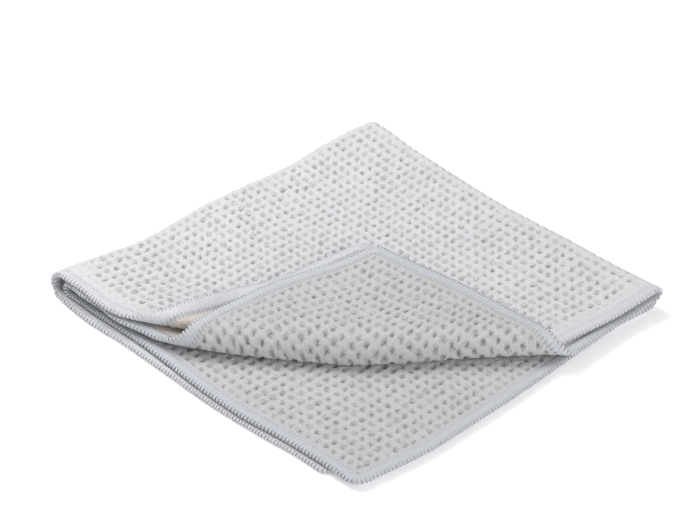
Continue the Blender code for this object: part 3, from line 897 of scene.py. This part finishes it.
def waffle_cloth_material():
    """White cotton and polyester waffle cloth, knitted from loosely spun yarn.

    It is matt and a little fuzzy, its ridges near white; painted shade makes one half of the square
    greyer and its pits a warmer, darker grey.
    """
    material, tree, shader = new_material("waffle_cloth_white", {
        "Metallic": 0.0, "IOR": 1.53, "Roughness": 0.92, "Specular IOR Level": 0.25,
        "Sheen Weight": 0.25, "Sheen Roughness": 0.6})
    place, half = shaded_half(tree)
    signed = add(tree, "ShaderNodeAttribute", attribute_name="waffle_strength").outputs["Fac"]
    strength = calc(tree, "ABSOLUTE", signed)
    half_side = SIDE / 2 - HEM_WIDTH
    far, chances = pit_pattern(tree, place, WAFFLE_PITCH, half_side, PIT_SEED, PIT_RAGGED_LOOK)
    hollow = ramp(tree, far, *HOLLOW_EDGES, "SMOOTHSTEP")
    core = ramp(tree, far, *CORE_EDGES, "SMOOTHSTEP")
    core = calc(tree, "MULTIPLY", core, calc(tree, "MULTIPLY_ADD", chances[1], CORE_SWING, 1.0))
    shade = calc(tree, "MULTIPLY_ADD", hollow, HOLLOW_SHARE, core)
    # the pits' painted shade is broken up at random
    shade_breakup = ramp(tree, noise(tree, place, PIT_SHADE_BREAKUP, 1.0), *SHADE_BREAKUP_LEVELS)
    shade_breakup.inputs["To Min"].default_value, shade_breakup.inputs["To Max"].default_value = SHADE_BREAKUP_GAINS
    shade = calc(tree, "MULTIPLY", shade, shade_breakup)
    shade = calc(tree, "MULTIPLY", shade, strength)
    inside = calc(tree, "LESS_THAN", signed, -0.001)

    # painted shade makes one half of the square greyer than the other, and patches of tone differ at
    # random over all of it
    tint = calc(tree, "MULTIPLY", noise(tree, place, WASHED_PATCHES, 3.0), PATCH_SHARE)
    tint = calc(tree, "MULTIPLY_ADD", half, HALF_SHADE_SHARE, tint)
    ridge = blend(tree, tint, linear("#D6D5D8"), linear("#B8B7BA"))
    # painted shade: the warm dark grey that the pits and needle slits are coloured towards
    pit_shade_colour = blend(tree, chances[0], linear("#9A9695"), linear("#A8978F"))
    # a needle hole shows as a slit of painted shade beside every stitch, where the threads end
    hem = parts_of(tree, add(tree, "ShaderNodeAttribute", attribute_name="hem_place").outputs["Vector"])
    stitch = calc(tree, "SUBTRACT", calc(tree, "FRACT", hem[0]), 0.5)
    slit = ramp(tree, calc(tree, "ABSOLUTE", stitch), *NEEDLE_SLIT_EDGES)
    off_row = calc(tree, "ABSOLUTE", calc(tree, "SUBTRACT", hem[1], NEEDLE_ROW))
    slit = calc(tree, "MULTIPLY", slit, ramp(tree, off_row, *NEEDLE_ROW_EDGES))
    slit = calc(tree, "MULTIPLY", slit, hem[2])
    # how much painted shade each place gets, from its pit and from its needle slit
    pit_and_slit_shade = calc(tree, "MULTIPLY", shade, PIT_SHADE, use_clamp=True)
    pit_and_slit_shade = calc(tree, "ADD", slit, pit_and_slit_shade, use_clamp=True)
    # the face that lies inside the folds is creamier
    face = blend(tree, inside, ridge, linear("#D8CFC8"))
    tree.links.new(blend(tree, pit_and_slit_shade, face, pit_shade_colour), shader.inputs["Base Color"])

    yarn = noise(tree, place, YARN_LOOPS, 2.0)
    fuzz = noise(tree, place, YARN_FUZZ, 1.0)
    bumps = calc(tree, "MULTIPLY_ADD", fuzz, FUZZ_BUMP, yarn)
    bumps = calc(tree, "MULTIPLY_ADD", shade, PIT_BUMP, bumps)
    bumps = calc(tree, "MULTIPLY_ADD", slit, SLIT_BUMP, bumps)
    relief = add(tree, "ShaderNodeBump", {"Height": bumps, "Strength": 1.0, "Distance": 0.0007})
    tree.links.new(relief.outputs["Normal"], shader.inputs["Normal"])
    return material


def edge_thread_material():
    """White textured polyester overlock thread: smoother than the cloth, with a faint cool satin."""
    material, tree, shader = new_material("overlock_thread_white", {
        "Metallic": 0.0, "IOR": 1.58, "Roughness": 0.62, "Sheen Weight": 0.15, "Sheen Roughness": 0.5})
    place, half = shaded_half(tree)
    # painted shade makes the threads greyer on one half of the square, and their patches of tone differ
    # at random
    tint = calc(tree, "MULTIPLY", noise(tree, place, THREAD_PATCHES, 2.0), THREAD_PATCH_SHARE)
    tint = calc(tree, "MULTIPLY_ADD", half, THREAD_HALF_SHADE_SHARE, tint)
    tint = calc(tree, "ADD", tint, 1.0, use_clamp=True)
    colour = blend(tree, tint, linear("#B9BBC2"), linear("#CACBD1"))
    tree.links.new(colour, shader.inputs["Base Color"])
    twist = noise(tree, place, THREAD_TWIST, 1.0)
    relief = add(tree, "ShaderNodeBump", {"Height": twist, "Strength": 0.35, "Distance": 0.0001})
    tree.links.new(relief.outputs["Normal"], shader.inputs["Normal"])
    return material


def floor_material():
    """Matt white acrylic table, lit a little from below, so that it shows near pure white."""
    return new_material("light_table_white", {
        "Metallic": 0.0, "IOR": 1.5, "Roughness": 0.9, "Specular IOR Level": 0.1,
        "Base Color": linear("#FCFCFC"), "Emission Color": (1, 1, 1, 1),
        "Emission Strength": FLOOR_GLOW})[0]


# ---- the pieces

def keep_flat_place(mesh):
    """Keeps every face corner's place in the flat square as a UV map, for the material."""
    flat = np.empty(len(mesh.vertices) * 3)
    mesh.vertices.foreach_get("co", flat)
    corner_of = np.empty(len(mesh.loops), dtype=np.int32)
    mesh.loops.foreach_get("vertex_index", corner_of)
    uv = flat.reshape(-1, 3)[corner_of, :2] / SIDE + 0.5
    mesh.uv_layers.new(name="flat_cloth").data.foreach_set("uv", uv.ravel())


def make_cloth():
    """The towel's cloth, pressed, mapped and folded."""
    sizes = {
        "Pit pitch": WAFFLE_PITCH, "Pit width": PIT_WIDTH, "Pit depth": PIT_DEPTH,
        "Waffle half side": SIDE / 2 - HEM_WIDTH, "Lump height": LUMP_HEIGHT, "Pit seed": PIT_SEED,
        "Material": waffle_cloth_material(),
    }
    cloth = grow(flat_cloth(), waffle_tree(sizes), sizes, "dish_towel")
    keep_flat_place(cloth.data)
    fold_in_place(cloth)
    cloth.data.polygons.foreach_set("use_smooth", np.ones(len(cloth.data.polygons), dtype=bool))
    return cloth


def make_edge_threads():
    """The overlock threads round the whole cut edge."""
    sizes = {
        "Seam width": HEM_WIDTH + THREAD_REACH, "Seam height": SEAM_HEIGHT,
        "Thread radius": THREAD_RADIUS, "Loops": 2 * 4 * STITCHES_A_SIDE, "Lean": LOOP_LEAN,
        "Reach": THREAD_REACH, "Second loop inset": SECOND_LOOP_INSET, "Seed": THREAD_SEED,
        "Material": edge_thread_material(),
    }
    threads = grow(edge_line(), overlock_tree(sizes), sizes, "edge_threads")
    keep_flat_place(threads.data)
    fold_in_place(threads)
    return threads


def make_floor():
    """A wide pale floor at the towel's foot."""
    mesh = bpy.data.meshes.new("floor")
    signs = ((-1, -1), (1, -1), (1, 1), (-1, 1))
    mesh.from_pydata([(x * FLOOR_REACH, y * FLOOR_REACH, 0) for x, y in signs], [], [(0, 1, 2, 3)])
    mesh.materials.append(floor_material())
    return new_object("floor", mesh)


# ---- studio

CAMERA_AZIMUTH = np.radians(47.0)
CAMERA_ELEVATION = np.radians(35.41)
CAMERA_DISTANCE = 1.2448
CAMERA_AIM = Vector((-0.02685, 0.02166, 0.0))
CAMERA_LENS = 133.7  # on a 36 mm wide sensor

FLOOR_REACH = 6.0
FLOOR_GLOW = 0.21
WORLD_STRENGTH = 0.26
SOFTBOXES = (  # name, place, width in metres, watts
    ("softbox_left", (-0.41, -0.08, 0.60), 0.5, 5.0),
    ("softbox_right", (1.2, -0.05, 0.52), 1.0, 10.6),
    ("softbox_top", (-0.1, 0.1, 1.4), 1.4, 4.0),
    ("softbox_front", (0.7, -1.1, 0.8), 1.2, 0.4),
)


def place_camera():
    """The photo's viewpoint: its angle, height, distance and lens."""
    camera = new_object("camera", bpy.data.cameras.new("camera"))
    camera.data.sensor_width = 36.0
    camera.data.lens = CAMERA_LENS
    camera.data.clip_start = 0.05
    back = Vector((np.sin(CAMERA_AZIMUTH) * np.cos(CAMERA_ELEVATION),
                   -np.cos(CAMERA_AZIMUTH) * np.cos(CAMERA_ELEVATION), np.sin(CAMERA_ELEVATION)))
    camera.location = CAMERA_AIM + back * CAMERA_DISTANCE
    camera.rotation_mode = "QUATERNION"
    camera.rotation_quaternion = (-back).to_track_quat("-Z", "Y")
    bpy.context.scene.camera = camera


def add_softbox(name, place, width, power):
    """A square softbox that faces the towel."""
    light = bpy.data.lights.new(name, "AREA")
    light.size = width
    light.energy = power
    box = new_object(name, light)
    box.location = place
    box.rotation_mode = "QUATERNION"
    box.rotation_quaternion = (-Vector(place)).to_track_quat("-Z", "Y")


def light_studio():
    """A white room with four softboxes."""
    world = bpy.data.worlds.new("white_room")
    world.use_nodes = True
    background = world.node_tree.nodes["Background"]
    background.inputs["Color"].default_value = (1, 1, 1, 1)
    background.inputs["Strength"].default_value = WORLD_STRENGTH
    bpy.context.scene.world = world
    for softbox in SOFTBOXES:
        add_softbox(*softbox)
    bpy.context.scene.view_settings.view_transform = "Standard"


cloth = make_cloth()
threads = make_edge_threads()
floor = make_floor()

for piece in (cloth, threads):
    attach(piece, "root")
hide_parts("towel")

place_camera()
light_studio()
